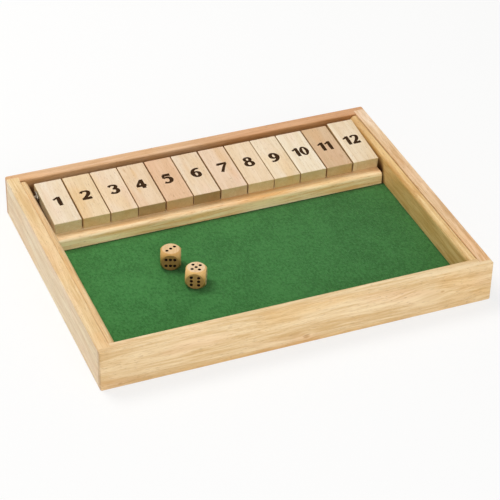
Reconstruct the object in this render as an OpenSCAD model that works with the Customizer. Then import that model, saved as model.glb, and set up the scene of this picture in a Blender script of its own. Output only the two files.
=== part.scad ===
// Shut the box: a shallow wooden tray with a felt floor, a row of tiles that
// flip over on one steel rod, and two dice.
// X runs along the row of tiles, Y to the back and Z up. The origin is at the
// middle of the underside. All sizes are in millimetres.

/* [Frame] */
// Outer width of the frame
frame_w = 320; // [290:1:360]
// Outer depth of the frame, front to back
frame_d = 246.5; // [220:0.5:280]
// Height of the walls
frame_h = 35; // [33:0.5:42]
// Thickness of the walls
wall_t = 10; // [8:0.5:12]
// Radius of the eased upper and lower edges of the walls
edge_ease = 0.8; // [0.4:0.1:1.5]
// Radius of the frame's upright corners
corner_round = 1.5; // [0.5:0.25:3]
// Thickness of the lips on the front and back boards that cover the side boards' ends
lip_t = 5; // [3:0.5:7]

/* [Floor] */
// Height of the panel's underside above the table
panel_z = 6.75; // [5:0.25:8]
// Thickness of the panel
panel_t = 3; // [2.5:0.5:4]
// Depth of the groove in the walls that holds the panel
groove_depth = 4; // [2:0.5:6]
// Thickness of the felt on the panel
felt_t = 1; // [0.5:0.25:1.5]

/* [Side strips] */
// Thickness of the strips that line the side walls and carry the rod
strip_t = 6.1; // [5:0.1:8]
// How far the top of a strip lies under the rim
strip_drop = 0.6; // [0:0.1:2]
// Radius of a strip's upper inner edge
strip_round = 4.5; // [2:0.5:5]
// Gap between the back end of a strip and the back wall
strip_end_gap = 1.5; // [0.5:0.25:4]

/* [Stop rail] */
// Distance from the front wall's inner face to the rail, the depth of the felt
tray_d = 153.4; // [130:0.1:160]
// Width of the rail, front to back
rail_w = 18; // [14:1:24]
// Height of the rail above the felt
rail_rise = 10.45; // [8:0.05:11]
// Radius of the rail's upper front edge
rail_round = 3; // [1:0.5:4]
// Radius of the eased edges at the rail's ends
rail_ease = 0.8; // [0.3:0.1:1.5]
// Gap between each end of the rail and the strip beside it
rail_end_gap = 1.6; // [0.5:0.1:4]

/* [Tiles] */
// Number of tiles
tile_count = 12; // [12]
// Length of a tile, front to back
tile_l = 56.6; // [50:0.1:60]
// Thickness of a tile
tile_t = 10; // [8:0.5:11]
// Distance from a tile's back end to the middle of its bore
tile_tail = 11.4; // [9:0.1:13]
// How much lower than its middle the last tile is bored, which lifts its back
low_bore = 1.3; // [0:0.1:2]
// Gap between the left strip and the first tile, which holds the washer
left_gap = 3.15; // [2:0.05:5]
// Gap between the last tile and the right strip
right_gap = 1.95; // [0.5:0.05:4]
// Radius of a tile's eased edges
tile_ease = 0.8; // [0.3:0.1:1.2]

/* [Rod] */
// Diameter of the steel rod
rod_d = 3; // [2.5:0.1:4]
// Height of the rod's axis above the table
rod_z = 29.05; // [28:0.05:31]
// Distance from the rod's axis to the back wall's inner face
rod_setback = 19; // [17:0.25:22]
// Radial clearance of a tile's bore on the rod
bore_play = 0.08; // [0.02:0.01:0.1]
// Diameter of the washer beside the first tile
washer_d = 9.6; // [7:0.1:11]
// Thickness of the washer
washer_t = 0.8; // [0.5:0.1:1.5]

/* [Dice] */
// Length of a die's edge
die_size = 16; // [12:0.5:19]
// Diameter of the ball that rounds a die's corners
die_ball = 21.2; // [19.5:0.1:24]
// Diameter of a pip
pip_d = 2.6; // [1.5:0.1:3]
// Distance between neighbouring pips, across and up
pip_pitch = 2.85; // [2.7:0.05:3.5]
// Distance between the pips along a six's two rows
six_pitch = 3.4; // [2.7:0.1:3.8]
// Place of the first die on the felt
die_1_at = [-63.6, -7.9]; // [-140:0.1:140]
// Turn of the first die
die_1_turn = -21.8; // [-45:0.1:45]
// Place of the second die on the felt
die_2_at = [-53.5, -37.7]; // [-140:0.1:140]
// Turn of the second die
die_2_turn = -27.1; // [-45:0.1:45]

/* [Hidden] */
$fn = 64;

// Inner faces of the frame and what stands on the floor
inner_w = frame_w - 2 * wall_t;
inner_d = frame_d - 2 * wall_t;
floor_z = panel_z + panel_t;
felt_top = floor_z + felt_t;
side_l = frame_d - 2 * lip_t;
strip_face = inner_w / 2 - strip_t;
strip_top = frame_h - strip_drop;
strip_l = inner_d - strip_end_gap;
rail_front = tray_d - inner_d / 2;
rail_top = felt_top + rail_rise;
rail_l = 2 * (strip_face - rail_end_gap);
rod_y = inner_d / 2 - rod_setback;

// Gaps between neighbouring tiles as they stand, from left to right
TILE_GAPS = [1.05, 0.65, 0.55, 0.9, 0.65, 1, 0.8, 0.4, 0.65, 0.8, 0.95];
function gaps_before(i) = i == 0 ? 0 : TILE_GAPS[i - 1] + gaps_before(i - 1);

// The tiles fill the width between the strips, less all the gaps
row_w = 2 * strip_face - left_gap - right_gap;
tile_w = (row_w - gaps_before(tile_count - 1)) / tile_count;
function tile_x(i) = -strip_face + left_gap + (i + 0.5) * tile_w + gaps_before(i);
function bore_drop(i) = i == tile_count - 1 ? low_bore : 0;

// A tile slopes down from the rod until its lower front edge meets the rail.
// The middle of that rounded edge lies at reach and drop from the rod's axis.
rest_gap = 0.02;
tile_reach = tile_l - tile_tail - tile_ease;
edge_fall = rod_z - rail_top - tile_ease - rest_gap;
function tile_drop(i) = tile_t / 2 - bore_drop(i) - tile_ease;
function tile_tilt(i) = asin(edge_fall / norm([tile_reach, tile_drop(i)]))
    - atan2(tile_drop(i), tile_reach);

// Bores are cut past both faces by this much
overcut = 1;

// What each die shows: on top, below, in front, behind, right and left, with 1
// where that pattern is turned by a quarter
DIE_1_FACES = [[3, 0], [4, 0], [6, 1], [1, 0], [5, 0], [2, 0]];
DIE_2_FACES = [[5, 0], [2, 0], [6, 0], [1, 0], [4, 0], [3, 0]];

// A rectangle from the origin with all four corners rounded
module eased_rect(w, h, r) {
    translate([r, 0]) square([w - 2 * r, h]);
    translate([0, r]) square([w, h - 2 * r]);
    for (x = [r, w - r], y = [r, h - r])
        translate([x, y]) circle(r);
}

// A rectangle from the origin with only its upper right corner rounded
module one_round_rect(w, h, r) {
    difference() {
        square([w, h]);
        translate([w - r, h - r]) difference() {
            square(r + overcut);
            circle(r);
        }
    }
}

// A block from the origin with eased edges, the overlap of three prisms. Its
// upright edges have their own radius.
module eased_block(size, r, upright_r) {
    intersection() {
        linear_extrude(size.z) eased_rect(size.x, size.y, upright_r);
        translate([0, size.y, 0]) rotate([90, 0, 0])
            linear_extrude(size.y) eased_rect(size.x, size.z, r);
        rotate([90, 0, 90])
            linear_extrude(size.x) eased_rect(size.y, size.z, r);
    }
}

// The space between two walls that stand span apart, drawn upright, with the
// walls' eased inner edges
module between_walls(span) {
    difference() {
        translate([-(span + wall_t) / 2, -overcut])
            square([span + wall_t, frame_h + 2 * overcut]);
        for (x = [-span / 2 - wall_t, span / 2])
            translate([x, 0]) eased_rect(wall_t, frame_h, edge_ease);
    }
}

// The frame without its joints and groove: a block less its opening
module plain_frame() {
    difference() {
        translate([-frame_w / 2, -frame_d / 2, 0])
            eased_block([frame_w, frame_d, frame_h], edge_ease, corner_round);
        intersection() {
            rotate([90, 0, 0])
                linear_extrude(frame_d, center = true) between_walls(inner_w);
            rotate([90, 0, 90])
                linear_extrude(frame_w, center = true) between_walls(inner_d);
        }
    }
}

// The room of the left board, cut square at both ends
module side_room() {
    translate([-frame_w / 2 - overcut, -side_l / 2, -overcut])
        cube([wall_t + overcut, side_l, frame_h + 2 * overcut]);
}

// The left board, with a groove for the floor along its whole length
module side_board() {
    difference() {
        intersection() {
            plain_frame();
            side_room();
        }
        translate([-inner_w / 2 - groove_depth, -frame_d / 2, panel_z])
            cube([wall_t, frame_d, panel_t]);
    }
}

// The front board: rebated at both ends for the side boards, and grooved
module cross_board() {
    difference() {
        intersection() {
            plain_frame();
            translate([-frame_w / 2 - overcut, -frame_d / 2 - overcut, -overcut])
                cube([frame_w + 2 * overcut, wall_t + overcut, frame_h + 2 * overcut]);
        }
        side_room();
        mirror([1, 0, 0]) side_room();
        translate([-frame_w / 2, -inner_d / 2 - groove_depth, panel_z])
            cube([frame_w, wall_t, panel_t]);
    }
}

module front_wall() {
    color("#E3C596") cross_board();
}

module back_wall() {
    color("#DDB082") mirror([0, 1, 0]) cross_board();
}

module left_wall() {
    color("#ECC692") side_board();
}

module right_wall() {
    color("#E4BE8C") mirror([1, 0, 0]) side_board();
}

// The floor, with its edges in the groove
module base_panel() {
    w = inner_w + 2 * groove_depth;
    d = inner_d + 2 * groove_depth;
    color("#C9A878") translate([-w / 2, -d / 2, panel_z]) cube([w, d, panel_t]);
}

// Felt from the front wall to the rail, between the strips
module felt_mat() {
    color("#437742") translate([-strip_face, -inner_d / 2, floor_z])
        cube([2 * strip_face, tray_d, felt_t]);
}

// The strip on the left wall, with the hole that holds the rod's end
module side_strip() {
    difference() {
        translate([-inner_w / 2, inner_d / 2 - strip_end_gap, floor_z]) rotate([90, 0, 0])
            linear_extrude(strip_l) one_round_rect(strip_t, strip_top - floor_z, strip_round);
        translate([-inner_w / 2 - overcut, rod_y, rod_z]) rotate([0, 90, 0])
            cylinder(d = rod_d, h = strip_t + 2 * overcut);
    }
}

module left_strip() {
    color("#D9B07A") side_strip();
}

module right_strip() {
    color("#CFA66F") mirror([1, 0, 0]) side_strip();
}

// The rail that the tiles' front edges rest on
module stop_rail() {
    rail_h = rail_top - floor_z;
    color("#C9A070") translate([-rail_l / 2, rail_front, floor_z]) intersection() {
        eased_block([rail_l, rail_w, rail_h], rail_ease, rail_ease);
        translate([rail_l, rail_w, 0]) rotate([90, 0, -90])
            linear_extrude(rail_l) one_round_rect(rail_w, rail_h, rail_round);
    }
}

// The rod lies in both strips and is stopped by the side walls
module hinge_rod() {
    color("#B9BBBE") translate([-inner_w / 2, rod_y, rod_z]) rotate([0, 90, 0])
        cylinder(d = rod_d, h = inner_w);
}

// The washer fills the gap between the left strip and the first tile loosely
module rod_washer() {
    middle = -strip_face + left_gap / 2;
    color("#C4C6C8") translate([middle - washer_t / 2, rod_y, rod_z]) rotate([0, 90, 0])
        difference() {
            cylinder(d = washer_d, h = washer_t);
            translate([0, 0, -overcut])
                cylinder(r = rod_d / 2 + bore_play, h = washer_t + 2 * overcut);
        }
}

// One tile at rest: a block with eased edges, hung on the rod by its bore
module tile(i) {
    shades = ["#EFDABD", "#EAD2A4", "#E9CFB0", "#E6CDA6", "#E2BF98", "#E8D0AE",
              "#E8CBAA", "#E9CFAD", "#EACFAB", "#ECD9B2", "#D6B48F", "#EAD4B5"];
    color(shades[i]) translate([tile_x(i), rod_y, rod_z]) rotate([tile_tilt(i), 0, 0])
        difference() {
            translate([-tile_w / 2, tile_tail - tile_l, bore_drop(i) - tile_t / 2])
                eased_block([tile_w, tile_l, tile_t], tile_ease, tile_ease);
            translate([-tile_w / 2 - overcut, 0, 0]) rotate([0, 90, 0])
                cylinder(r = rod_d / 2 + bore_play, h = tile_w + 2 * overcut);
        }
}

// Where the pips of one face lie, in steps of the pip pitch
function pip_steps(n) = concat(
    n % 2 == 1 ? [[0, 0]] : [],
    n > 1 ? [[-1, -1], [1, 1]] : [],
    n > 3 ? [[-1, 1], [1, -1]] : [],
    n == 6 ? [[-1, 0], [1, 0]] : []);

// The cutters of one face's pips, on a face that looks up
module pips(shown) {
    along = shown[0] == 6 ? six_pitch : pip_pitch;
    rotate([0, 0, 90 * shown[1]])
        for (p = pip_steps(shown[0]))
            translate([p.x * pip_pitch, p.y * along]) sphere(d = pip_d);
}

// A die with rounded corners and drilled pips, standing on the felt
module die(place, turn, faces) {
    half = die_size / 2;
    turns = [[0, 0, 0], [180, 0, 0], [90, 0, 0], [-90, 0, 0], [90, 0, 90], [90, 0, -90]];
    translate([place.x, place.y, felt_top + half]) rotate([0, 0, turn])
        difference() {
            intersection() {
                cube(die_size, center = true);
                sphere(d = die_ball);
            }
            for (side = [0:5])
                rotate(turns[side]) translate([0, 0, half]) pips(faces[side]);
        }
}

module die_1() {
    color("#E0BC8A") die(die_1_at, die_1_turn, DIE_1_FACES);
}

module die_2() {
    color("#E3C08F") die(die_2_at, die_2_turn, DIE_2_FACES);
}

front_wall();
back_wall();
left_wall();
right_wall();
base_panel();
felt_mat();
left_strip();
right_strip();
stop_rail();
hinge_rod();
rod_washer();
tile(0);  // tile_01
tile(1);  // tile_02
tile(2);  // tile_03
tile(3);  // tile_04
tile(4);  // tile_05
tile(5);  // tile_06
tile(6);  // tile_07
tile(7);  // tile_08
tile(8);  // tile_09
tile(9);  // tile_10
tile(10);  // tile_11
tile(11);  // tile_12
die_1();
die_2();
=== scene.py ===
# Shut the box: a shallow wooden tray with a felt floor, twelve numbered tiles that flip over on
# one steel rod, and two dice. X runs along the row of tiles, Y to the back and Z up, in metres.
from math import asin, atan2, hypot, pi, radians

import bpy
from mathutils import Euler, Matrix, Vector


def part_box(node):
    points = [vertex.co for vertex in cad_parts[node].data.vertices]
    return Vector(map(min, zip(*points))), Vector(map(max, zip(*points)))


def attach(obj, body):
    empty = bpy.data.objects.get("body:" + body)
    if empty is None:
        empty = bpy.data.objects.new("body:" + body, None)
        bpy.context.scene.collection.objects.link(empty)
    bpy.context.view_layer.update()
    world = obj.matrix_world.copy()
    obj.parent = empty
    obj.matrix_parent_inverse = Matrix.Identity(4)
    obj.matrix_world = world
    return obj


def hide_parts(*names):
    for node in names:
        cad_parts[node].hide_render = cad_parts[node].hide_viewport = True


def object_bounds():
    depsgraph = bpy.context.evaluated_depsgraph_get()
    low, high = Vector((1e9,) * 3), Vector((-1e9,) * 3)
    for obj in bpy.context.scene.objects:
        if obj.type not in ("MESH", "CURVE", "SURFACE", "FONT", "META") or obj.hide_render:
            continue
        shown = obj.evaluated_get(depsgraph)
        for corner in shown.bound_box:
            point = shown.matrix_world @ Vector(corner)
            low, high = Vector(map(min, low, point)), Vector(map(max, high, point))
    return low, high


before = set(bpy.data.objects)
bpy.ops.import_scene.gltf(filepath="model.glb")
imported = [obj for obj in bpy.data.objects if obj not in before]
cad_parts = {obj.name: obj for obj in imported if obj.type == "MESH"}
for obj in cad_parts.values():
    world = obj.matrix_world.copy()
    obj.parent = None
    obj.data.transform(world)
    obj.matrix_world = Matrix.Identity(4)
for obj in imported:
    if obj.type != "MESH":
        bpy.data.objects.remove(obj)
cad_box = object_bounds()
MM = 0.001
# How far a cutter reaches beyond what it cuts
BEYOND = 10 * MM

# Camera: where the picture was taken from, and the directions of its right and upper sides
CAMERA_AT = Vector((-0.47655, -1.15862, 0.90402))
CAMERA_RIGHT = Vector((0.92776, -0.37270, 0.01862))
CAMERA_UP = Vector((0.20344, 0.54698, 0.81205))
FOCAL_LENGTH = 1920.23
PICTURE_WIDTH = 500
SENSOR_WIDTH = 36

# Light: white all round, and wide lamps: where each one stands, its size, power and colour
SKY_AT_ZENITH = 0.40
SKY_AT_HORIZON = 0.6
SKY_COLOUR = (0.97, 0.985, 1.0)
LAMPS = {
    "key_lamp": (Vector((-0.5, 0.65, 1.55)), 0.75, 17, (1.0, 0.97, 0.91)),
    "front_lamp": (Vector((-0.1, -1.8, 0.8)), 1.3, 14.5, (1.0, 0.98, 0.95)),
}
LAMP_AIM = Vector((0, 0, 0.02))
FLOOR_WHITE = 0.93
FLOOR_WIDTH = 14
FLOOR_GLOW = 0.72

# Easing of the woodwork
WALL_EASE = 0.8 * MM
CORNER_ROUND = 1.5 * MM
STRIP_ROUND = 4.5 * MM
STRIP_EASE = 0.4 * MM
RAIL_ROUND = 3 * MM
RAIL_EASE = 0.8 * MM

# Tiles
TILE_LENGTH = 56.6 * MM
TILE_THICK = 10 * MM
TILE_TAIL = 11.4 * MM
TILE_EASE = 0.8 * MM
BORE_RADIUS = 1.58 * MM
# How much lower than its middle the last tile is bored, which lifts its back
BORE_DROPS = {"tile_12": 1.3 * MM}
INK_DEPTH = 0.25 * MM

# Dice
DIE_BALL = 21.2 * MM
DIE_RIM_EASE = 0.35 * MM
PIP_WIDTH = 2.6 * MM
PIP_PITCH = 2.85 * MM
SIX_PITCH = 3.4 * MM
DIE_TURNS = {"die_1": radians(-21.8), "die_2": radians(-27.1)}
# What each die shows on top, below, in front, behind, right and left, with 1 where the
# pattern is turned by a quarter
DIE_FACES = {
    "die_1": ((3, 0), (4, 0), (6, 1), (1, 0), (5, 0), (2, 0)),
    "die_2": ((5, 0), (2, 0), (6, 0), (1, 0), (4, 0), (3, 0)),
}
PIP_STEPS = {
    1: ((0, 0),),
    2: ((-1, -1), (1, 1)),
    3: ((-1, -1), (0, 0), (1, 1)),
    4: ((-1, -1), (-1, 1), (1, -1), (1, 1)),
    5: ((-1, -1), (-1, 1), (0, 0), (1, -1), (1, 1)),
    6: ((-1, -1), (-1, 0), (-1, 1), (1, -1), (1, 0), (1, 1)),
}

# Felt
FELT_CELL = 1.2 * MM
FELT_NAP = 0.12 * MM


def srgb(red, green, blue):
    """A colour given as a screen shows it, 0 to 255, as linear light."""
    levels = (red / 255, green / 255, blue / 255)
    return tuple(v / 12.92 if v <= 0.04045 else ((v + 0.055) / 1.055) ** 2.4 for v in levels)


# Colours of the pieces
BOARD_COLOURS = {
    "front_wall": srgb(233, 203, 154),
    "back_wall": srgb(221, 176, 130),
    "left_wall": srgb(230, 196, 141),
    "right_wall": srgb(228, 190, 142),
}
STRIP_COLOURS = {"left_strip": srgb(225, 187, 130), "right_strip": srgb(224, 186, 122)}
RAIL_COLOUR = srgb(248, 212, 159)
PANEL_COLOUR = srgb(122, 84, 50)
TILE_COLOURS = (
    srgb(233, 214, 186),
    srgb(232, 205, 164),
    srgb(234, 211, 181),
    srgb(227, 198, 162),
    srgb(224, 184, 145),
    srgb(231, 208, 179),
    srgb(230, 201, 170),
    srgb(234, 208, 173),
    srgb(235, 214, 182),
    srgb(238, 221, 192),
    srgb(211, 178, 138),
    srgb(231, 209, 175),
)
DIE_COLOUR = srgb(228, 195, 149)
# The rounded corners of the dice, which soak up more lacquer
DIE_CORNERS = srgb(229, 181, 108)
FELT_COLOUR = srgb(51, 114, 51)
# Painted light and shade: the felt is a little paler on the left and darker on the right
FELT_LIT_LEFT = (1.08, 1.09, 1.12)
FELT_SHADED_RIGHT = (0.87, 0.87, 0.87)
# Painted shade along its edges beside the rail and the right strip
FELT_EDGE_SHADE = (0.34, 0.34, 0.22)
INK_COLOUR = srgb(54, 34, 13)
PIP_COLOUR = srgb(26, 13, 7)
STEEL_COLOUR = srgb(158, 148, 132)


class Socket:
    """A node's output in an expression. Each operation on it adds its own maths node."""

    def __init__(self, shader, output):
        self.shader = shader
        self.output = output

    def combine(self, operation, *values, output=0):
        """One Math node, or a Vector Math node where any of the values is a vector."""
        kinds = [v.output.type if isinstance(v, Socket) else type(v).__name__ for v in values]
        is_vector = any(kind in ("VECTOR", "RGBA", "tuple", "Vector") for kind in kinds)
        kind = "VectorMath" if is_vector else "Math"
        return self.shader.node(kind, {"operation": operation}, dict(enumerate(values)), output)

    def __add__(self, other):
        return self.combine("ADD", self, other)

    def __radd__(self, other):
        return self.combine("ADD", other, self)

    def __sub__(self, other):
        return self.combine("SUBTRACT", self, other)

    def __rsub__(self, other):
        return self.combine("SUBTRACT", other, self)

    def __mul__(self, other):
        return self.combine("MULTIPLY", self, other)

    def __rmul__(self, other):
        return self.combine("MULTIPLY", other, self)

    def __truediv__(self, other):
        return self.combine("DIVIDE", self, other)

    def __rtruediv__(self, other):
        return self.combine("DIVIDE", other, self)

    def __abs__(self):
        return self.combine("ABSOLUTE", self)

    def length(self):
        return self.combine("LENGTH", self, output=1)

    def dot(self, other):
        return self.combine("DOT_PRODUCT", self, other, output=1)

    def larger(self, other):
        return self.combine("MAXIMUM", self, other)


class Shader:
    """A node tree in the making."""

    def __init__(self, owner):
        owner.use_nodes = True
        self.tree = owner.node_tree
        self.tree.nodes.clear()

    def node(self, kind, settings=None, sockets=None, output=0):
        """Adds a node: its settings, then the values or links of its sockets."""
        node = self.tree.nodes.new("ShaderNode" + kind)
        for setting, value in (settings or {}).items():
            setattr(node, setting, value)
        for key, value in (sockets or {}).items():
            self.feed(node.inputs[key], value)
        return Socket(self, node.outputs[output]) if node.outputs else None

    def feed(self, entry, value):
        """Links a socket to a node's input, or sets the input's own value."""
        if isinstance(value, Socket):
            self.tree.links.new(value.output, entry)
        elif entry.type == "VECTOR" and isinstance(value, (int, float)):
            entry.default_value = (value, value, value)
        elif entry.type == "RGBA":
            entry.default_value = (*value[:3], 1)
        else:
            entry.default_value = value

    def noise(self, place, detail=2.0, roughness=0.5, output=0):
        """Smooth noise about 0.5, one unit of place wide."""
        sockets = {"Vector": place, "Scale": 1, "Detail": detail, "Roughness": roughness}
        return self.node("TexNoise", None, sockets, output)

    def rise(self, value, low, high):
        """A smooth rise from 0 where value is low to 1 where it is high."""
        sockets = {"Value": value, "From Min": low, "From Max": high}
        return self.node("MapRange", {"interpolation_type": "SMOOTHSTEP"}, sockets)

    def mix(self, factor, first, second):
        """The first colour where factor is 0 and the second where it is 1."""
        sockets = {0: factor, 6: first, 7: second}
        return self.node("Mix", {"data_type": "RGBA"}, sockets, 2)

    def finish(self, colour, roughness, height, depth, **fixed):
        """The surface shader, with its bumps depth metres high and other sockets at fixed values."""
        bumps = self.node("Bump", None, {"Strength": 1, "Distance": depth, "Height": height})
        sockets = {"Base Color": colour, "Roughness": roughness, "Normal": bumps}
        sockets.update({name.replace("_", " "): value for name, value in fixed.items()})
        surface = self.node("BsdfPrincipled", None, sockets)
        self.node("OutputMaterial", None, {"Surface": surface})


def tinted(colour, by, strength=1.0):
    """A colour with each part scaled, kept below white."""
    scales = (1 + (scale - 1) * strength for scale in by)
    return tuple(min(part * scale, 0.95) for part, scale in zip(colour, scales))


# Wood: how much paler and deeper its streaks are than its mean colour
PALE = (1.10, 1.17, 1.32)
DEEP = (0.86, 0.78, 0.64)
GOLD = (0.96, 0.84, 0.62)
ROSE = (1.0, 0.90, 0.88)
PORE = (0.52, 0.40, 0.28)
KNOT = (0.70, 0.52, 0.30)
# Dark flaws, and also painted shade where it is set in gaps and low in corners
FLAW_AND_SHADE = (0.22, 0.15, 0.10)
# Paler, as sapwood, and also painted light where it is set on lit faces and rounded edges
SAP_AND_LIGHT = (1.10, 1.15, 1.24)
CREAM = (1.05, 1.165, 1.42)
TAN = (0.68, 0.54, 0.32)
# The sawn sides of the tiles, darkened as painted shade of the narrow gaps between them, and the
# first tile's side, which faces the open gap, tinted paler and yellower as painted light
TILE_SIDE_SHADE = (0.62, 0.50, 0.33)
FIRST_SIDE_LIGHT = (1.06, 1.05, 0.85)
# Painted shade low on the dice's rounded corners, near the felt
DIE_LOW_SHADE = (0.33, 0.40, 0.24)
# End grain, darker than the sides, and the pieces whose ends stand out
END_GRAIN = (0.70, 0.70, 0.50)
END_GRAINS = {
    "front_wall": (0.84, 0.78, 0.72),
    "back_wall": (0.84, 0.78, 0.72),
    "die_1": (0.38, 0.32, 0.17),
    "die_2": (0.58, 0.48, 0.28),
    "tile_03": (0.60, 0.58, 0.36),
    "tile_04": (0.48, 0.42, 0.24),
    "tile_06": (0.43, 0.34, 0.17),
    "tile_08": (0.78, 0.75, 0.53),
    "tile_09": (0.69, 0.65, 0.40),
    "tile_10": (0.65, 0.60, 0.38),
    "tile_11": (0.83, 0.87, 0.66),
    "tile_12": (0.82, 0.76, 0.57),
}
# Satin lacquer on all the woodwork
GLOSS = 0.25
# Knots, stains and pale streaks in each piece's wood, and painted shade and light on some
# pieces: tint, middle and half sizes in millimetres, and strength
MARKS = {
    "front_wall": (
        (KNOT, (4, -123, 6.2), (4.2, 4, 3), 0.75),
        (KNOT, (-4, -123, 10.5), (9, 5, 3.2), 0.3),
        (KNOT, (117, -123, 18.2), (2.8, 4, 1.6), 0.7),
        (KNOT, (106, -123, 17), (17, 6, 6.5), 0.3),
        (KNOT, (-145, -123, 3.2), (2.6, 4, 1.3), 0.6),
        (KNOT, (-100, -123, 22), (34, 6, 5), 0.25),
        (KNOT, (144, -123, 26.5), (9, 5, 2.4), 0.35),
        (GOLD, (0, -123, 1), (190, 9, 4), 0.8),
        (SAP_AND_LIGHT, (20, -123, 22), (60, 9, 6), 0.6),
        (GOLD, (145, -123, 17), (70, 9, 60), 0.2),
        (TAN, (-145, -123, 15), (70, 9, 60), 0.22),
    ),
    "back_wall": (
        (FLAW_AND_SHADE, (-33.4, 122.9, 35), (1.7, 1, 1), 0.95),
        (FLAW_AND_SHADE, (71.6, 122.9, 35), (2.3, 1.1, 1), 0.95),
        (ROSE, (120, 118, 25), (150, 30, 40), 0.8),
        (GOLD, (120, 118, 25), (150, 30, 40), 0.6),
        (TAN, (150, 118, 25), (210, 40, 50), 0.45),
        # Painted shade on the inner face, darkest in a band low down behind the tiles
        (TAN, (0, 113.2, 25), (400, 2, 60), 0.2),
        (FLAW_AND_SHADE, (0, 113.2, 21), (400, 2, 10), 0.6),
        (KNOT, (-155.3, 119.9, 35), (1.6, 1.2, 2), 0.5),
        # Painted shade low in the inner left corner
        (FLAW_AND_SHADE, (-144, 113.2, 21), (7, 2, 12), 1),
    ),
    "left_wall": (
        # Painted reflection: the outer face paler and bluer, as it mirrors the white surroundings at
        # a grazing angle
        (CREAM, (-161, 0, 17), (4.5, 400, 60), 1),
        (SAP_AND_LIGHT, (-155, 112, 35), (8, 13, 8), 0.7),
    ),
    "right_wall": (
        (SAP_AND_LIGHT, (155, 112, 35), (9, 30, 9), 0.9),
        (CREAM, (156, 112, 35), (9, 30, 9), 0.8),
        (TAN, (157.5, -30, 35), (2.6, 70, 9), 0.35),
        (SAP_AND_LIGHT, (155, -105, 35), (9, 50, 9), 0.7),
        (KNOT, (149.9, -5, 35), (0.9, 400, 3), 0.8),
    ),
    "left_strip": (
        (KNOT, (-150.4, 0, 34.6), (1.2, 400, 3), 0.45),
        # Painted shade on the lower part of the rounded edge, in the gap beside the first tile
        (FLAW_AND_SHADE, (-143.9, 79, 31.5), (2.9, 42, 6), 1),
    ),
    "right_strip": (
        (FLAW_AND_SHADE, (150.2, -5, 34.5), (1.4, 400, 3), 0.75),
        (GOLD, (143.9, -40, 18), (1.6, 400, 18), 0.4),
        # Painted shade on the inner face, in the gap by the rail's right end
        (FLAW_AND_SHADE, (143.9, 48, 19), (1.6, 9, 14), 1),
        (FLAW_AND_SHADE, (143.9, 44.5, 15), (1.6, 5, 14), 1),
    ),
    "stop_rail": (
        # Painted light on the front face, paler and yellower
        (SAP_AND_LIGHT, (0, 40.3, 14), (400, 2.5, 12), 1),
        (GOLD, (0, 40.3, 14), (400, 2.5, 12), 0.3),
        # Painted highlight along the rounded front edge
        (SAP_AND_LIGHT, (0, 42.5, 21), (400, 4, 4), 0.7),
        (ROSE, (0, 45, 21.5), (400, 9, 4), 0.8),
        # Painted shade at the right end, in the gap by the strip
        (FLAW_AND_SHADE, (142.6, 44, 15), (0.7, 30, 30), 1),
    ),
    # Painted shade low on the rounded corners, near the felt
    "die_1_corners": (
        (DIE_LOW_SHADE, (-63.6, -7.9, 12.7), (60, 60, 15), 0.95),
        (DIE_LOW_SHADE, (-63.6, -7.9, 12.7), (60, 60, 5), 0.6),
    ),
    "die_2_corners": (
        (DIE_LOW_SHADE, (-53.5, -37.7, 12.7), (60, 60, 9), 0.7),
        (DIE_LOW_SHADE, (-53.5, -37.7, 12.7), (60, 60, 5), 0.6),
        # Painted light on the upper part of the rounded corners
        (SAP_AND_LIGHT, (-53.5, -37.7, 27), (60, 60, 11), 1),
    ),
    "tile_02": (
        (FLAW_AND_SHADE, (-98.8, 90.2, 34), (0.4, 1.4, 2), 0.7),
        (KNOT, (-98.9, 88.2, 34), (0.5, 1.8, 2), 0.7),
        (KNOT, (-106, 62.5, 32), (0.9, 7, 5), 0.35),
        (KNOT, (-101.7, 68, 32), (0.8, 4.5, 5), 0.3),
        (KNOT, (-98, 68, 32), (0.7, 4, 5), 0.35),
    ),
    "tile_04": (
        (KNOT, (-65.3, 98.5, 34), (0.9, 5, 5), 0.5),
        (KNOT, (-59.5, 100, 34), (0.8, 5.5, 5), 0.4),
        (GOLD, (-59, 91.5, 33), (2.8, 12, 6), 0.7),
        (GOLD, (-62, 70, 33), (2.6, 8, 6), 0.6),
        (SAP_AND_LIGHT, (-51.5, 98, 34), (3.5, 8, 6), 0.5),
    ),
    "tile_06": ((FLAW_AND_SHADE, (-1.5, 48.4, 23), (1.5, 1, 1.3), 0.95),),
    "tile_07": ((KNOT, (14.8, 63.5, 32), (0.7, 7, 5), 0.3),),
    "tile_11": ((KNOT, (113.5, 60, 32), (2.3, 5, 5), 0.4),),
    "tile_12": (
        (SAP_AND_LIGHT, (120.8, 75, 32), (2.6, 90, 40), 0.9),
        (KNOT, (123.2, 75, 32), (0.45, 60, 30), 0.4),
    ),
}


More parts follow.
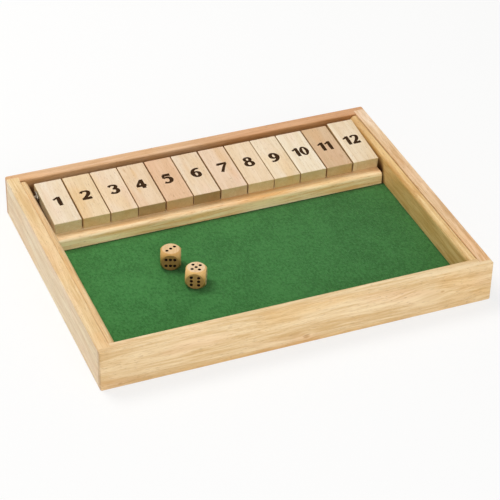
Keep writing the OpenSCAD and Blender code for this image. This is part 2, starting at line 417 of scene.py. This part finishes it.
def wood(node, colour, place, turn, seed, contrast=1.0, sides=None):
    """Pale satin hardwood. Its grain runs along the X axis of a block at place, turned by turn,
    and bends round the piece's knots. sides tints the faces to the block's left and right,
    as painted light and shade."""
    material = bpy.data.materials.new(f"{node}_wood")
    shader = Shader(material)
    here = shader.node("TexCoord", output="Object")
    block = shader.node(
        "Mapping",
        {"vector_type": "TEXTURE"},
        {"Vector": here, "Location": place, "Rotation": turn},
    )
    spot = block + (0.37 * seed, 0.53 * seed, 0.29 * seed)
    sway = shader.noise(spot * (7, 22, 22), detail=2, output=1) - 0.5
    grain = spot + sway * (0, 0.012, 0.012)
    # The marks: knots and stains, with painted shade and painted light where they are set
    stains = []
    for tint, centre, half_sizes, strength in MARKS.get(node, ()):
        away = here / MM - centre
        reach = (away / half_sizes + sway * 1.2).length()
        if tint == KNOT:
            grain = grain - away * MM * (1 - shader.rise(reach, 0, 2.4)) * 0.6
        stains.append((tint, (1 - shader.rise(reach, 0.15, 1)) * strength))

    bands = shader.noise(grain * (13, 150, 150), detail=3, roughness=0.55)
    streaks = shader.noise(grain * (22, 520, 520), detail=3, roughness=0.6)
    fibres = shader.noise(grain * (70, 1900, 1900), detail=2)
    pores = shader.rise(shader.noise(grain * (210, 2600, 2600), detail=1), 0.62, 0.74)
    clouds = shader.noise(spot * (14, 45, 45), detail=2, output=1)

    tone = bands * 0.42 + streaks * 0.36 + fibres * 0.22
    body = shader.mix(
        shader.rise(tone, 0.37, 0.63),
        tinted(colour, PALE, contrast),
        tinted(colour, DEEP, contrast),
    )
    body = shader.mix(shader.rise(clouds.dot((1, 0, 0)), 0.5, 0.7) * 0.6, body, body * GOLD)
    body = shader.mix(shader.rise(clouds.dot((0, 1, 0)), 0.5, 0.7) * 0.6, body, body * ROSE)
    body = shader.mix(pores * 0.6, body, body * PORE)
    for tint, stain in stains:
        body = shader.mix(stain, body, body * tint)

    normal = shader.node("TexCoord", output="Normal")
    along = Euler(turn).to_matrix() @ Vector((1, 0, 0))
    aside = Euler(turn).to_matrix() @ Vector((0, 1, 0))
    # Painted light and shade on the faces to the left and right of the grain
    if sides:
        body = shader.mix(shader.rise(abs(normal.dot(tuple(aside))), 0.6, 0.95), body, body * sides)
    end_grain = shader.rise(abs(normal.dot(tuple(along))), 0.55, 0.9)
    body = shader.mix(end_grain, body, body * END_GRAINS.get(node, END_GRAIN))

    roughness = 0.36 + tone * 0.12 + end_grain * 0.2
    height = streaks * 0.4 + fibres * 0.6 - pores * 0.9
    shader.finish(body, roughness, height, 0.05 * MM, IOR=1.5, Coat_Weight=GLOSS, Coat_Roughness=0.3)
    return material


def felt_finish():
    """Pressed green felt: short fibres lying every way, and a soft sheen."""
    material = bpy.data.materials.new("green_felt")
    shader = Shader(material)
    here = shader.node("TexCoord", output="Object")
    hairs = 0
    for seed, lie in enumerate((10, 52, 97, 141)):
        turned = shader.node("Mapping", None, {"Vector": here, "Rotation": (0, 0, radians(lie))})
        hair = shader.noise((turned + (seed, seed, 0)) * (420, 2600, 600), detail=2)
        hairs = hairs + shader.rise(hair, 0.5, 0.72) * 0.25
    tufts = shader.noise(here * (520, 300, 400), detail=4, roughness=0.7)
    clouds = shader.noise(here * (48, 48, 48), detail=3)
    shade = tufts * 0.72 + clouds * 0.28
    deep = tinted(FELT_COLOUR, (0.52, 0.70, 0.54))
    pale = tinted(FELT_COLOUR, (1.42, 1.30, 1.42))
    body = shader.mix(shader.rise(shade, 0.36, 0.66), deep, pale)
    body = shader.mix(hairs * 0.7, body, tinted(FELT_COLOUR, (1.7, 1.5, 1.7)))
    # Painted light and shade: paler on the left, darker to the right
    to_the_right = shader.rise(here.dot((1, 0, 0)), -150 * MM, 150 * MM)
    body = shader.mix(to_the_right, body * FELT_LIT_LEFT, body * FELT_SHADED_RIGHT)
    # Painted shade along the felt's edges by the rail and the right strip
    _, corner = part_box("felt_mat")
    by_rail = shader.rise(here.dot((0, 1, 0)), corner.y - 2 * MM, corner.y - 0.3 * MM)
    by_strip = shader.rise(here.dot((1, 0, 0)), corner.x - 2 * MM, corner.x - 0.3 * MM)
    body = shader.mix(by_rail.larger(by_strip * 0.5), body, body * FELT_EDGE_SHADE)
    height = tufts * 0.6 + hairs
    shader.finish(
        body, 0.92 - hairs * 0.1, height, 0.22 * MM,
        Specular_IOR_Level=0.2, Sheen_Weight=0.25, Sheen_Roughness=0.5,
        Sheen_Tint=(0.75, 0.95, 0.72),
    )
    return material


def steel_finish():
    """Drawn steel with fine rings of the tool round the rod's axis."""
    material = bpy.data.materials.new("bright_steel")
    shader = Shader(material)
    here = shader.node("TexCoord", output="Object")
    turned = shader.noise(here * (5200, 300, 300), detail=3)
    stains = shader.noise(here * (240, 240, 240), detail=2)
    body = shader.mix(stains, STEEL_COLOUR, tinted(STEEL_COLOUR, (0.8, 0.79, 0.78)))
    shader.finish(body, 0.24 + stains * 0.16, turned, 0.01 * MM, Metallic=1.0)
    return material


def ink_finish(name, colour):
    """Dark stain worn a little thin over the fibres."""
    material = bpy.data.materials.new(name)
    shader = Shader(material)
    here = shader.node("TexCoord", output="Object")
    fibres = shader.noise(here * (1800, 160, 1800), detail=2)
    grit = shader.noise(here * (2600, 2600, 2600), detail=1)
    worn = shader.rise(fibres * 0.6 + grit * 0.4, 0.5, 0.72)
    body = shader.mix(worn * 0.5, colour, tinted(colour, (2.4, 2.0, 1.6)))
    shader.finish(body, 0.6 + worn * 0.2, fibres, 0.04 * MM, Specular_IOR_Level=0.06)
    return material


def set_camera():
    camera = bpy.data.cameras.new("camera")
    camera.sensor_width = SENSOR_WIDTH
    camera.lens = FOCAL_LENGTH / PICTURE_WIDTH * SENSOR_WIDTH
    holder = bpy.data.objects.new("camera", camera)
    back = CAMERA_RIGHT.cross(CAMERA_UP)
    turned = Matrix((CAMERA_RIGHT, CAMERA_UP, back)).transposed()
    holder.matrix_world = Matrix.Translation(CAMERA_AT) @ turned.to_4x4()
    bpy.context.scene.collection.objects.link(holder)
    bpy.context.scene.camera = holder


def seen_directly(shader):
    """1 where the camera looks, straight or through gloss and glass, and 0 for other light."""
    ways = [
        shader.node("LightPath", output=f"Is {way} Ray")
        for way in ("Camera", "Glossy", "Transmission")
    ]
    return ways[0].larger(ways[1]).larger(ways[2])


def set_light():
    world = bpy.data.worlds.new("studio")
    bpy.context.scene.world = world
    shader = Shader(world)
    height = abs(shader.node("TexCoord", output="Generated").dot((0, 0, 1)))
    level = SKY_AT_ZENITH + (1 - shader.rise(height, 0, 0.6)) * (SKY_AT_HORIZON - SKY_AT_ZENITH)
    light = shader.node("Background", None, {"Color": SKY_COLOUR, "Strength": level})
    white = shader.node("Background", None, {"Color": (1, 1, 1), "Strength": 1})
    sky = shader.node("MixShader", None, {0: seen_directly(shader), 1: light, 2: white})
    shader.node("OutputWorld", None, {"Surface": sky})

    for name, (place, size, power, colour) in LAMPS.items():
        lamp = bpy.data.lights.new(name, "AREA")
        lamp.size = size
        lamp.energy = power
        lamp.color = colour
        holder = bpy.data.objects.new(name, lamp)
        holder.location = place
        holder.rotation_euler = (LAMP_AIM - place).to_track_quat("-Z", "Y").to_euler()
        bpy.context.scene.collection.objects.link(holder)


def lay_floor():
    """A white floor that lights the box from below and keeps a soft shadow."""
    bpy.ops.mesh.primitive_plane_add(size=FLOOR_WIDTH, location=(0, 0, cad_box[0].z))
    floor = settled("floor")
    material = bpy.data.materials.new("white_floor")
    shader = Shader(material)
    matt = shader.node("BsdfDiffuse", None, {"Color": (FLOOR_WHITE,) * 3})
    glow = shader.node("Emission", None, {"Color": (1, 1, 1), "Strength": 1})
    share = seen_directly(shader) * FLOOR_GLOW
    surface = shader.node("MixShader", None, {0: share, 1: matt, 2: glow})
    shader.node("OutputMaterial", None, {"Surface": surface})
    floor.data.materials.append(material)


def select_only(*pieces):
    """Selects these objects and nothing else, and makes the first one active."""
    bpy.ops.object.select_all(action="DESELECT")
    for piece in pieces:
        piece.select_set(True)
    bpy.context.view_layer.objects.active = pieces[0]


def settled(name):
    """Names the new active object and puts its place into its mesh."""
    piece = bpy.context.object
    piece.name = name
    piece.data.name = name
    bpy.ops.object.transform_apply(location=True, rotation=True, scale=True)
    return piece


def block(name, low, high):
    """A solid block between two corners."""
    bpy.ops.object.select_all(action="DESELECT")
    bpy.ops.mesh.primitive_cube_add(size=1, location=(low + high) / 2, scale=high - low)
    return settled(name)


def rod(name, axis, radius, length, middle, sides=48):
    """A cylinder along X or Z."""
    turn = (0, pi / 2, 0) if axis == "X" else (0, 0, 0)
    bpy.ops.object.select_all(action="DESELECT")
    bpy.ops.mesh.primitive_cylinder_add(
        vertices=sides, radius=radius, depth=length, location=middle, rotation=turn
    )
    return settled(name)


def edit(piece, kind, chosen):
    """Opens a piece in edit mode with only its chosen edges or faces selected."""
    select_only(piece)
    bpy.ops.object.mode_set(mode="EDIT")
    bpy.ops.mesh.select_mode(type=kind)
    bpy.ops.mesh.select_all(action="DESELECT")
    bpy.ops.object.mode_set(mode="OBJECT")
    items = piece.data.edges if kind == "EDGE" else piece.data.polygons
    for item in items:
        item.select = chosen(item)
    bpy.ops.object.mode_set(mode="EDIT")


def close_edit():
    bpy.ops.object.mode_set(mode="OBJECT")


def ends(piece, edge):
    """The two ends of an edge."""
    return [piece.data.vertices[index].co for index in edge.vertices]


def runs_along(piece, axis):
    """A test of an edge: whether it is straight along X, Y or Z, given as 0, 1 or 2."""
    def test(edge):
        first, second = ends(piece, edge)
        step = second - first
        return abs(step[axis]) > 0.999 * step.length
    return test


def ease(piece, width, steps, chosen):
    """Rounds the chosen edges."""
    edit(piece, "EDGE", chosen)
    bpy.ops.mesh.bevel(offset=width, segments=steps, affect="EDGES")
    close_edit()


def cut(piece, cutter, operation="DIFFERENCE", solver="EXACT", crossing=False):
    """Cuts a piece with another one, which is used up. Cut faces take the cutter's finish, if any.
    crossing says that the cutter's own parts cross each other."""
    select_only(piece)
    modifier = piece.modifiers.new("cut", "BOOLEAN")
    modifier.operation = operation
    modifier.solver = solver
    modifier.use_self = crossing
    modifier.material_mode = "TRANSFER" if cutter.data.materials else "INDEX"
    modifier.object = cutter
    bpy.ops.object.modifier_apply(modifier=modifier.name)
    bpy.data.objects.remove(cutter)


def soften(piece, width, steps, sharpest):
    """Rounds every edge that turns by more than an angle, given in degrees."""
    select_only(piece)
    arris = piece.modifiers.new("arris", "BEVEL")
    arris.limit_method = "ANGLE"
    arris.angle_limit = radians(sharpest)
    arris.width = width
    arris.segments = steps
    bpy.ops.object.modifier_apply(modifier=arris.name)


def crisp(piece):
    """Smooth easings beside flat faces."""
    select_only(piece)
    bpy.ops.object.shade_smooth_by_angle(angle=radians(35))
    modifier = piece.modifiers.new("flat_faces", "WEIGHTED_NORMAL")
    modifier.keep_sharp = True
    bpy.ops.object.modifier_apply(modifier=modifier.name)


def take_over(piece, node, body):
    """Lets a finished piece stand for a CAD node."""
    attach(piece, body)
    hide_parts(node)


def copied(piece, name):
    """A copy of a piece with its own mesh."""
    select_only(piece)
    bpy.ops.object.duplicate()
    bpy.context.object.name = name
    return bpy.context.object


# The frame's outer box and its opening, from its walls
LEFT_WALL, RIGHT_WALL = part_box("left_wall"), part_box("right_wall")
FRONT_WALL, BACK_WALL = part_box("front_wall"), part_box("back_wall")
FRAME_LOW = Vector((LEFT_WALL[0].x, FRONT_WALL[0].y, FRONT_WALL[0].z))
FRAME_HIGH = Vector((RIGHT_WALL[1].x, BACK_WALL[1].y, BACK_WALL[1].z))
OPENING_LOW = Vector((LEFT_WALL[1].x, FRONT_WALL[1].y, FRAME_LOW.z - BEYOND))
OPENING_HIGH = Vector((RIGHT_WALL[0].x, BACK_WALL[0].y, FRAME_HIGH.z + BEYOND))


def plain_frame():
    """The four boards as one ring: rounded outer corners, and edges eased above and below."""
    ring = block("plain_frame", FRAME_LOW, FRAME_HIGH)
    ease(ring, CORNER_ROUND, 8, runs_along(ring, 2))
    cut(ring, block("opening", OPENING_LOW, OPENING_HIGH))
    steepness = {}
    for face in ring.data.polygons:
        for key in face.edge_keys:
            steepness.setdefault(key, []).append(abs(face.normal.z))

    def is_rim(edge):
        return max(steepness[edge.key]) > 0.5 > min(steepness[edge.key])

    ease(ring, WALL_EASE, 5, is_rim)
    return ring


def room(node):
    """The box of a board, reaching out beyond the frame on the board's outer sides."""
    low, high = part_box(node)
    for axis in range(3):
        if low[axis] < FRAME_LOW[axis] + 1e-6:
            low[axis] -= BEYOND
        if high[axis] > FRAME_HIGH[axis] - 1e-6:
            high[axis] += BEYOND
    return block("room", low, high)


def board(node, ring, axis, finish):
    """One board of the frame, cut out of the ring. The front and back boards are rebated at both
    ends for the side boards, and the floor's groove runs along each board's whole length."""
    piece = copied(ring, node.replace("wall", "board"))
    piece.data.materials.append(finish)
    cut(piece, room(node), "INTERSECT", "MANIFOLD")
    if axis == 0:
        cut(piece, room("left_wall"), solver="MANIFOLD")
        cut(piece, room("right_wall"), solver="MANIFOLD")
    low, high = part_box("base_panel")
    low[axis] -= BEYOND
    high[axis] += BEYOND
    cut(piece, block("groove", low, high), solver="MANIFOLD")
    crisp(piece)
    take_over(piece, node, "box")


def side_strip(node, inward, finish):
    """A strip that lines a side wall, with its upper inner edge rounded over and the rod's hole."""
    low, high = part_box(node)
    piece = block(node.replace("strip", "liner"), low, high)
    piece.data.materials.append(finish)
    inner = high.x if inward > 0 else low.x

    def upper_inner(edge):
        first, second = ends(piece, edge)
        return all(
            abs(end.x - inner) < 1e-6 and abs(end.z - high.z) < 1e-6 for end in (first, second)
        )

    ease(piece, STRIP_ROUND, 12, upper_inner)
    soften(piece, STRIP_EASE, 3, 40)
    rod_low, rod_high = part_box("hinge_rod")
    middle = (rod_low + rod_high) / 2
    middle.x = (low.x + high.x) / 2
    cut(piece, rod("hole", "X", (rod_high.z - rod_low.z) / 2, 3 * (high.x - low.x), middle))
    crisp(piece)
    take_over(piece, node, "box")


def rail(finish):
    """The rail under the tiles' front edges, rounded along its front and at its ends."""
    low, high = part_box("stop_rail")
    piece = block("tile_rest", low, high)
    piece.data.materials.append(finish)

    def upper_front(edge):
        return all(
            abs(end.y - low.y) < 1e-6 and abs(end.z - high.z) < 1e-6 for end in ends(piece, edge)
        )

    ease(piece, RAIL_ROUND, 8, upper_front)
    soften(piece, RAIL_EASE, 4, 40)
    crisp(piece)
    take_over(piece, "stop_rail", "box")


# Numerals: each digit's pen strokes as points across, up and wide, in millimetres from its
# middle. A stroke that ends where it starts is closed.
DIGITS = {
    "0": (
        ((0, 5.2, 1.8), (-2.6, 2.2, 3.0), (-2.6, -2.2, 3.0), (0, -5.2, 1.8), (2.6, -2.2, 3.0),
         (2.6, 2.2, 3.0), (0, 5.2, 1.8)),
    ),
    "1": (
        ((1.45, 5.9, 3.0), (1.35, 2.0, 3.4), (1.3, -2.0, 3.5), (1.5, -5.9, 3.2)),
        ((-3.3, 2.7, 1.8), (-0.9, 3.9, 2.0), (1.4, 5.4, 1.6)),
    ),
    "2": (
        ((-3.5, 3.1, 2.6), (-2.2, 4.8, 2.3), (0.3, 5.2, 1.9), (2.5, 4.3, 3.0), (2.8, 2.2, 3.4),
         (1.0, -0.8, 3.0), (-1.5, -3.2, 2.4), (-3.4, -4.8, 2.0)),
        ((-4.2, -4.7, 2.4), (0, -4.6, 2.9), (4.2, -4.1, 3.3)),
    ),
    "3": (
        ((-3.4, 3.6, 2.7), (-1.8, 5.0, 2.2), (0.6, 5.1, 2.0), (2.4, 3.9, 3.0), (2.2, 2.0, 3.0),
         (-0.3, 0.5, 2.0)),
        ((-0.6, 0.5, 1.8), (2.2, -0.1, 2.8), (3.0, -2.5, 3.5), (1.4, -4.8, 2.7),
         (-1.2, -5.2, 2.3), (-3.3, -3.9, 3.2)),
    ),
    "4": (
        ((1.6, 5.8, 2.8), (1.5, 0, 3.3), (1.6, -5.9, 3.2)),
        ((1.2, 5.3, 2.2), (-3.7, -2.2, 2.2)),
        ((-4.4, -2.5, 2.5), (4.2, -2.3, 2.9)),
    ),
    "5": (
        ((-2.6, 4.9, 3.3), (3.6, 5.0, 3.4)),
        ((-2.4, 5.2, 2.2), (-2.8, 0.8, 2.0)),
        ((-2.8, 1.0, 1.7), (-0.3, 1.7, 2.2), (2.5, 0.3, 3.3), (2.8, -2.4, 3.5),
         (0.9, -4.9, 2.6), (-1.5, -5.2, 2.2), (-3.3, -4.2, 3.0)),
    ),
    "6": (
        ((3.8, 5.1, 2.0), (0.5, 4.9, 2.4), (-2.4, 1.6, 3.3), (-2.5, -2.3, 3.5),
         (-0.5, -5.0, 2.2), (1.8, -4.4, 3.0), (2.7, -2.0, 3.3), (1.6, 0.5, 2.6),
         (-0.4, 0.9, 1.8), (-2.2, -0.4, 1.6)),
    ),
    "7": (
        ((-3.9, 4.6, 3.0), (0, 4.8, 2.8), (4.2, 5.1, 2.4)),
        ((-3.5, 5.4, 1.8), (-3.9, 3.2, 2.1)),
        ((3.2, 4.4, 2.2), (0.4, 0.1, 2.4), (-2.8, -6.1, 2.7)),
    ),
    "8": (
        ((0, 5.6, 1.9), (-2.4, 3.3, 2.9), (0, 0.8, 2.0), (2.4, 3.3, 2.9), (0, 5.6, 1.9)),
        ((0, 0.4, 2.0), (-3.0, -2.8, 3.3), (0, -5.6, 1.9), (3.0, -2.8, 3.3), (0, 0.4, 2.0)),
    ),
}
# A nine is a six turned round
DIGITS["9"] = tuple(
    tuple((-across, -up, wide) for across, up, wide in stroke) for stroke in DIGITS["6"]
)
# Two digits stand closer and narrower: each one's shift, in millimetres, and their squeeze
PAIR_SHIFTS = {"10": (-3.8, 3.3), "11": (-3.5, 2.9), "12": (-4.6, 2.7)}
PAIR_SQUEEZE = 0.82
# Middle of the numerals on the tiles, towards the front from the bore, and how far each one of
# them, stamped by hand, stands from there to the right and to the back
NUMERAL_AT = -17.2 * MM
STAMP_SHIFTS = (
    (0.2, 0.0), (0.0, 0.8), (0.3, 1.1), (0.0, 0.6), (-0.8, 0.5), (0.7, 0.8),
    (1.2, 0.8), (0.0, 1.0), (-0.4, 0.1), (0.0, 0.5), (-0.5, 1.0), (0.3, 1.5),
)


def pen_nib():
    """A straight nib of unit width, which each stroke's points scale."""
    nib = bpy.data.curves.new("nib", "CURVE")
    line = nib.splines.new("POLY")
    line.points.add(1)
    line.points[0].co = (-0.5, 0, 0, 1)
    line.points[1].co = (0.5, 0, 0, 1)
    holder = bpy.data.objects.new("nib", nib)
    bpy.context.scene.collection.objects.link(holder)
    return holder


def numeral(number, face, nib, finish):
    """The strokes of a number as solid cutters that reach INK_DEPTH into a tile's face, which
    lies at that height."""
    text = str(number)
    right, back = STAMP_SHIFTS[number - 1]
    curve = bpy.data.curves.new("numeral", "CURVE")
    curve.dimensions = "2D"
    curve.fill_mode = "NONE"
    curve.resolution_u = 6
    curve.bevel_mode = "OBJECT"
    curve.bevel_object = nib
    shifts = PAIR_SHIFTS.get(text, (0,))
    squeeze = PAIR_SQUEEZE if len(text) == 2 else 1
    for digit, shift in zip(text, shifts):
        for stroke in DIGITS[digit]:
            closed = stroke[0] == stroke[-1]
            points = stroke[:-1] if closed else stroke
            line = curve.splines.new("BEZIER")
            line.use_cyclic_u = closed
            line.radius_interpolation = "CARDINAL"
            line.bezier_points.add(len(points) - 1)
            for point, (across, up, wide) in zip(line.bezier_points, points):
                aside = right + shift + across * squeeze
                point.co = (aside * MM, (up + back) * MM + NUMERAL_AT, 0)
                point.radius = wide * MM * (1 + squeeze) / 2
                point.handle_left_type = "AUTO"
                point.handle_right_type = "AUTO"
    strokes = bpy.data.objects.new("numeral", curve)
    bpy.context.scene.collection.objects.link(strokes)
    select_only(strokes)
    bpy.ops.object.convert(target="MESH")
    strokes = bpy.context.object
    strokes.data.materials.append(finish)
    edit(strokes, "FACE", lambda face: True)
    bpy.ops.mesh.select_all(action="SELECT")
    bpy.ops.mesh.remove_doubles(threshold=1e-6)
    rise = {"value": (0, 0, 4 * INK_DEPTH)}
    bpy.ops.mesh.extrude_region_move(TRANSFORM_OT_translate=rise)
    bpy.ops.mesh.select_all(action="SELECT")
    bpy.ops.mesh.normals_make_consistent(inside=False)
    bpy.ops.transform.translate(value=(0, 0, face - INK_DEPTH))
    close_edit()
    return strokes


def tile_blank(node):
    """A tile lying flat with its bore at the origin: eased block, bored across near its back."""
    low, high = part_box(node)
    half = Vector(((high.x - low.x) / 2, 0, TILE_THICK / 2))
    corner = Vector((0, TILE_TAIL, BORE_DROPS.get(node, 0)))
    piece = block(f"numbered_{node}", corner - half - Vector((0, TILE_LENGTH, 0)), corner + half)
    ease(piece, TILE_EASE, 4, lambda edge: True)
    cut(piece, rod("bore", "X", BORE_RADIUS, 4 * half.x, (0, 0, 0)))
    return piece


def tile_tilt(node):
    """How far a resting tile slopes: until its turned block is as high as the CAD node's box."""
    low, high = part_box(node)
    length = TILE_LENGTH - 2 * TILE_EASE
    thick = TILE_THICK - 2 * TILE_EASE
    rise = high.z - low.z - 2 * TILE_EASE
    return asin(rise / hypot(length, thick)) - atan2(thick, length)


def tiles(ink):
    nib = pen_nib()
    rod_low, rod_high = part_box("hinge_rod")
    axis = (rod_low + rod_high) / 2
    for index, colour in enumerate(TILE_COLOURS):
        node = f"tile_{index + 1:02d}"
        low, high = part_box(node)
        tilt = tile_tilt(node)
        place = Vector(((low.x + high.x) / 2, axis.y, axis.z))
        piece = tile_blank(node)
        turn = (0, -tilt, pi / 2)
        # Painted shade on the tiles' sides, and painted light on the first tile's side
        sides = TILE_SIDE_SHADE if index else FIRST_SIDE_LIGHT
        finish = wood(node, colour, place, turn, 1.3 + 0.71 * index, 0.45, sides)
        piece.data.materials.append(finish)
        face = TILE_THICK / 2 + BORE_DROPS.get(node, 0)
        cut(piece, numeral(index + 1, face, nib, ink), crossing=True)
        select_only(piece)
        piece.rotation_euler = (tilt, 0, 0)
        piece.location = place
        bpy.ops.object.transform_apply(location=True, rotation=True, scale=True)
        crisp(piece)
        take_over(piece, node, node)
    bpy.data.objects.remove(nib)


def die(node, faces, turn, ink, seed):
    """A die: a cube inside a ball, with a drilled and stained hole for each pip."""
    low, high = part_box(node)
    centre = (low + high) / 2
    half = Vector((1, 1, 1)) * (high.z - low.z) / 2
    piece = block(f"wooden_{node}", -half, half)
    grain = (0, 0, turn + pi / 2)
    piece.data.materials.append(wood(node, DIE_COLOUR, centre, grain, seed, 0.6))
    bpy.ops.object.select_all(action="DESELECT")
    bpy.ops.mesh.primitive_uv_sphere_add(segments=96, ring_count=48, radius=DIE_BALL / 2)
    ball = settled("ball")
    ball.data.materials.append(wood(f"{node}_corners", DIE_CORNERS, centre, grain, seed, 0.6))
    cut(piece, ball, "INTERSECT")
    soften(piece, DIE_RIM_EASE, 3, 25)

    quarter = pi / 2
    side_turns = (
        (0, 0, 0), (pi, 0, 0), (quarter, 0, 0), (-quarter, 0, 0), (quarter, 0, quarter),
        (quarter, 0, -quarter),
    )
    drills = []
    for (count, turned), side_turn in zip(faces, side_turns):
        to_side = Euler(side_turn).to_matrix() @ Matrix.Rotation(turned * quarter, 3, "Z")
        pitch = SIX_PITCH if count == 6 else PIP_PITCH
        for across, up in PIP_STEPS[count]:
            spot = to_side @ Vector((across * PIP_PITCH, up * pitch, half.z))
            bpy.ops.object.select_all(action="DESELECT")
            bpy.ops.mesh.primitive_uv_sphere_add(
                segments=24, ring_count=12, radius=PIP_WIDTH / 2, location=spot
            )
            drills.append(settled("drill"))
    select_only(*drills)
    bpy.ops.object.join()
    drills[0].data.materials.append(ink)
    cut(piece, drills[0])
    select_only(piece)
    piece.rotation_euler = (0, 0, turn)
    piece.location = centre
    bpy.ops.object.transform_apply(location=True, rotation=True, scale=True)
    crisp(piece)
    take_over(piece, node, node)


def felt(finish):
    """The felt on the tray's floor, a thin sheet with a slightly uneven nap."""
    low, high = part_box("felt_mat")
    size = high - low
    bpy.ops.object.select_all(action="DESELECT")
    bpy.ops.mesh.primitive_grid_add(
        x_subdivisions=round(size.x / FELT_CELL),
        y_subdivisions=round(size.y / FELT_CELL),
        size=1,
        location=((low.x + high.x) / 2, (low.y + high.y) / 2, high.z),
    )
    bpy.ops.transform.resize(value=(size.x, size.y, 1))
    sheet = settled("felt_sheet")
    sheet.data.materials.append(finish)
    nap = bpy.data.textures.new("nap", "CLOUDS")
    nap.noise_scale = 3 * MM
    uneven = sheet.modifiers.new("nap", "DISPLACE")
    uneven.texture = nap
    uneven.strength = FELT_NAP
    uneven.mid_level = 0.75
    bpy.ops.object.modifier_apply(modifier=uneven.name)
    thick = sheet.modifiers.new("thickness", "SOLIDIFY")
    thick.thickness = size.z
    thick.offset = -1
    bpy.ops.object.modifier_apply(modifier=thick.name)
    bpy.ops.object.shade_smooth_by_angle(angle=radians(40))
    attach(sheet, "box")
    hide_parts("felt_mat")


def dress(node, finish):
    """Gives a CAD node its finish."""
    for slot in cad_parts[node].material_slots:
        slot.material = finish


set_camera()
set_light()
lay_floor()

ALONG_X = (0, 0, 0)
ALONG_Y = (0, 0, pi / 2)
WALLS = (
    ("front_wall", 0, ALONG_X, 0.9, 1.2),
    ("back_wall", 0, ALONG_X, 2.3, 1),
    ("left_wall", 1, ALONG_Y, 3.1, 1),
    ("right_wall", 1, ALONG_Y, 4.4, 1.5),
)
ring = plain_frame()
for wall, long_axis, turn, seed, contrast in WALLS:
    low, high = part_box(wall)
    grain = wood(wall, BOARD_COLOURS[wall], (low + high) / 2, turn, seed, contrast)
    board(wall, ring, long_axis, grain)
bpy.data.objects.remove(ring)
for strip, inward, seed in (("left_strip", 1, 5.2), ("right_strip", -1, 6.1)):
    low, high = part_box(strip)
    grain = wood(strip, STRIP_COLOURS[strip], (low + high) / 2, ALONG_Y, seed, 1.4)
    side_strip(strip, inward, grain)
low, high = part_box("stop_rail")
rail(wood("stop_rail", RAIL_COLOUR, (low + high) / 2, ALONG_X, 7.7, 1.25))
dress("base_panel", wood("base_panel", PANEL_COLOUR, (0, 0, 0), ALONG_X, 8.5))
felt(felt_finish())
steel = steel_finish()
dress("hinge_rod", steel)
dress("rod_washer", steel)
tiles(ink_finish("number_ink", INK_COLOUR))
pip_ink = ink_finish("pip_stain", PIP_COLOUR)
for seed, (node, faces) in enumerate(DIE_FACES.items()):
    die(node, faces, DIE_TURNS[node], pip_ink, 11.3 + seed)

bpy.context.scene.view_settings.view_transform = "Standard"
